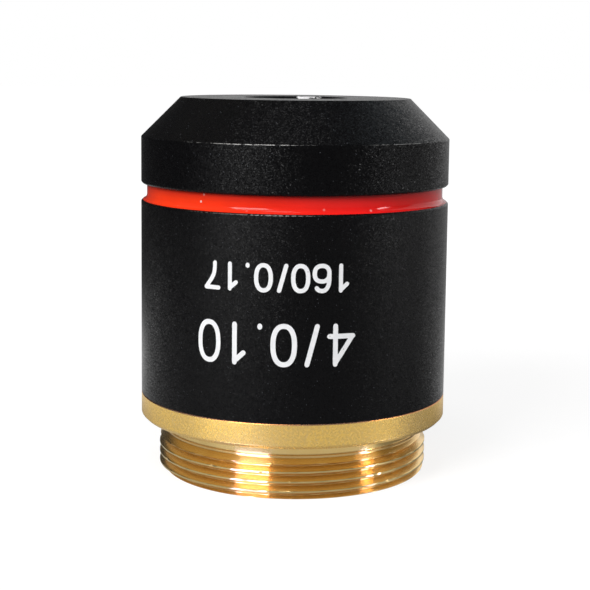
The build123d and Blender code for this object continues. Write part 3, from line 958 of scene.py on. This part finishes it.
def studio_card(name, inner, outer, first, last, grey, tint=(1.0, 1.0, 1.0)):
    """A card that only gloss sees, from one (radius, height) to another, between two angles in degrees."""
    material = bpy.data.materials.new(name)
    material.use_nodes = True
    tree = material.node_tree
    glow = add_node(tree, "ShaderNodeEmission", {"Color": (*tint, 1.0), "Strength": grey})
    connect(tree, tree.nodes["Material Output"], Surface=glow.outputs[0])
    angles = [math.radians(first + (last - first) * step / CARD_STEPS) for step in range(CARD_STEPS + 1)]
    points = [(r * math.cos(a), r * math.sin(a), z) for a in angles for r, z in (inner, outer)]
    mesh = bpy.data.meshes.new(name)
    mesh.from_pydata(points, [], [(2 * i, 2 * i + 2, 2 * i + 3, 2 * i + 1) for i in range(CARD_STEPS)])
    card = show(name, mesh, [material])
    card.visible_camera = False
    card.visible_diffuse = False
    card.visible_transmission = False
    card.visible_shadow = False
    return tree, glow


# %% Cards round the room
ROOM = 0.7
ROOF = 0.5
UNDER_ROOF = 0.49
WALL = ((ROOM, 0.0), (ROOM, ROOF))
LOW_STRIP = ((14 * MM, 0.0), (14 * MM, 1.7 * MM))
# card: (inner edge, outer edge, first angle, last angle, grey, tint); angle -90 is the camera's side
CARDS = {
    "front_card": (*WALL, -190, 10, 0.15),
    "left_card": (*WALL, -262, -190, 0.05),
    "back_card": (*WALL, -290, -262, 0.58),
    "roof_card": ((0.0, ROOF), (ROOM, ROOF), -270, 90, 0.16),
    "window_card": ((0.25, UNDER_ROOF), (0.69, UNDER_ROOF), 8, 55, 1.0, (0.82, 0.94, 1.0)),
    "lamp_shade_card": ((0.3, UNDER_ROOF), (0.69, UNDER_ROOF), 140, 180, 0.45, (1.0, 0.95, 0.8)),
    "left_thread_card": (*LOW_STRIP, -123, -103, 14.0, (0.4, 0.4, 1.0)),
    "right_thread_card": (*LOW_STRIP, -48, -43, 14.0, (0.42, 0.45, 1.0)),
}
for name, card in CARDS.items():
    studio_card(name, *card)
print("cards:", list(CARDS))

# %% Table card
TABLE_HEIGHT = -0.005 * MM
TABLE_HOLE = 9 * MM
tree, glow = studio_card("table_card", (TABLE_HOLE, TABLE_HEIGHT), (ROOM, TABLE_HEIGHT), -270, 90, 1.0)
radius, angle, height = polar(tree, tree.nodes.new("ShaderNodeTexCoord").outputs["Object"])
to_right = calc(tree, "COSINE", angle)
to_camera = calc(tree, "SINE", calc(tree, "MULTIPLY", angle, -1.0))
left_shade = ramp(tree, radius, 20 * MM, 30 * MM, 0.27, 0.76)
right_shade = ramp(tree, radius, 20 * MM, 30 * MM, 0.40, 0.50)
near = ramp(tree, to_camera, -0.9, 0.2, left_shade, 0.74)
for shade in (ramp(tree, radius, 18 * MM, 32 * MM, 0.74, 1.0),
              ramp(tree, to_right, 0.78, 0.98, 1.0, right_shade)):
    near = calc(tree, "MULTIPLY", near, shade)
far = ramp(tree, to_right, -0.5, 0.5, 0.06, 0.45)
reach = ramp(tree, radius, 30 * MM, 110 * MM)
tone = calc(tree, "MULTIPLY_ADD", reach, calc(tree, "SUBTRACT", far, near), near)

# %% Glow of the lamps on the table
# glow: (azimuth, half width, softness, strength, inner radius, outer radius)
LAMP_GLOWS = (
    (-38, 16, 6, 0.12, 12 * MM, 24 * MM),
    (-90, 55, 20, 0.35, 38 * MM, 60 * MM),
    (-43, 18, 7, 2.8, 48 * MM, 200 * MM),
    (57.5, 3.0, 3.0, 0.36, 12 * MM, 24 * MM),
    (74, 9, 5, 3.2, 55 * MM, 200 * MM),
)
FADE_LOW = 0.85
FADE_HIGH = 1.15
for azimuth, half_width, softness, strength, inner, outer in LAMP_GLOWS:
    toward = calc(tree, "COSINE", calc(tree, "SUBTRACT", angle, math.radians(azimuth - 90)))
    edges = [math.cos(math.radians(half_width + side * softness)) for side in (1, -1)]
    span = calc(tree, "MULTIPLY", ramp(tree, radius, FADE_LOW * inner, FADE_HIGH * inner),
                ramp(tree, radius, FADE_HIGH * outer, FADE_LOW * outer, 0.0, strength))
    tone = calc(tree, "MULTIPLY_ADD", ramp(tree, toward, *edges), span, tone)
connect(tree, glow, Strength=tone)
print("glows on the table:", len(LAMP_GLOWS))

# %% Lamps
LAMP_TARGET = Vector((0, 0, 0.012))


def soft_lamp(name, azimuth, elevation, distance, width, height, radiance):
    """A rectangular lamp that looks at the object; azimuth 0 is the camera's side, positive to its right."""
    data = bpy.data.lights.new(name, "AREA")
    data.shape = "RECTANGLE"
    data.size = width
    data.size_y = height
    data.energy = radiance * math.pi * width * height
    a = math.radians(azimuth)
    e = math.radians(elevation)
    way = Vector((math.sin(a) * math.cos(e), -math.cos(a) * math.cos(e), math.sin(e)))
    lamp = add_object(name, data)
    lamp.location = LAMP_TARGET + way * distance
    lamp.rotation_euler = way.to_track_quat("Z", "Y").to_euler()
    print(name, "watts:", round(data.energy, 3))


soft_lamp("left_softbox", -35, 26, 0.40, 0.19, 0.22, 11.5)
soft_lamp("right_strip", 72, 20, 0.40, 0.045, 0.16, 20.0)
soft_lamp("overhead", -20, 70, 0.42, 0.13, 0.13, 8.0)

# %% World
AMBIENT = 0.06
world = bpy.data.worlds.new("white_studio")
bpy.context.scene.world = world
world.use_nodes = True
tree = world.node_tree
background = next(node for node in tree.nodes if node.type == "BACKGROUND")
background.inputs["Color"].default_value = WHITE
lit = ramp(tree, seen_ray(tree), 0.0, 1.0, AMBIENT, 1.0, smooth=False)
connect(tree, background, Strength=lit)
bpy.context.scene.view_settings.view_transform = "Standard"
print("ambient light:", AMBIENT)
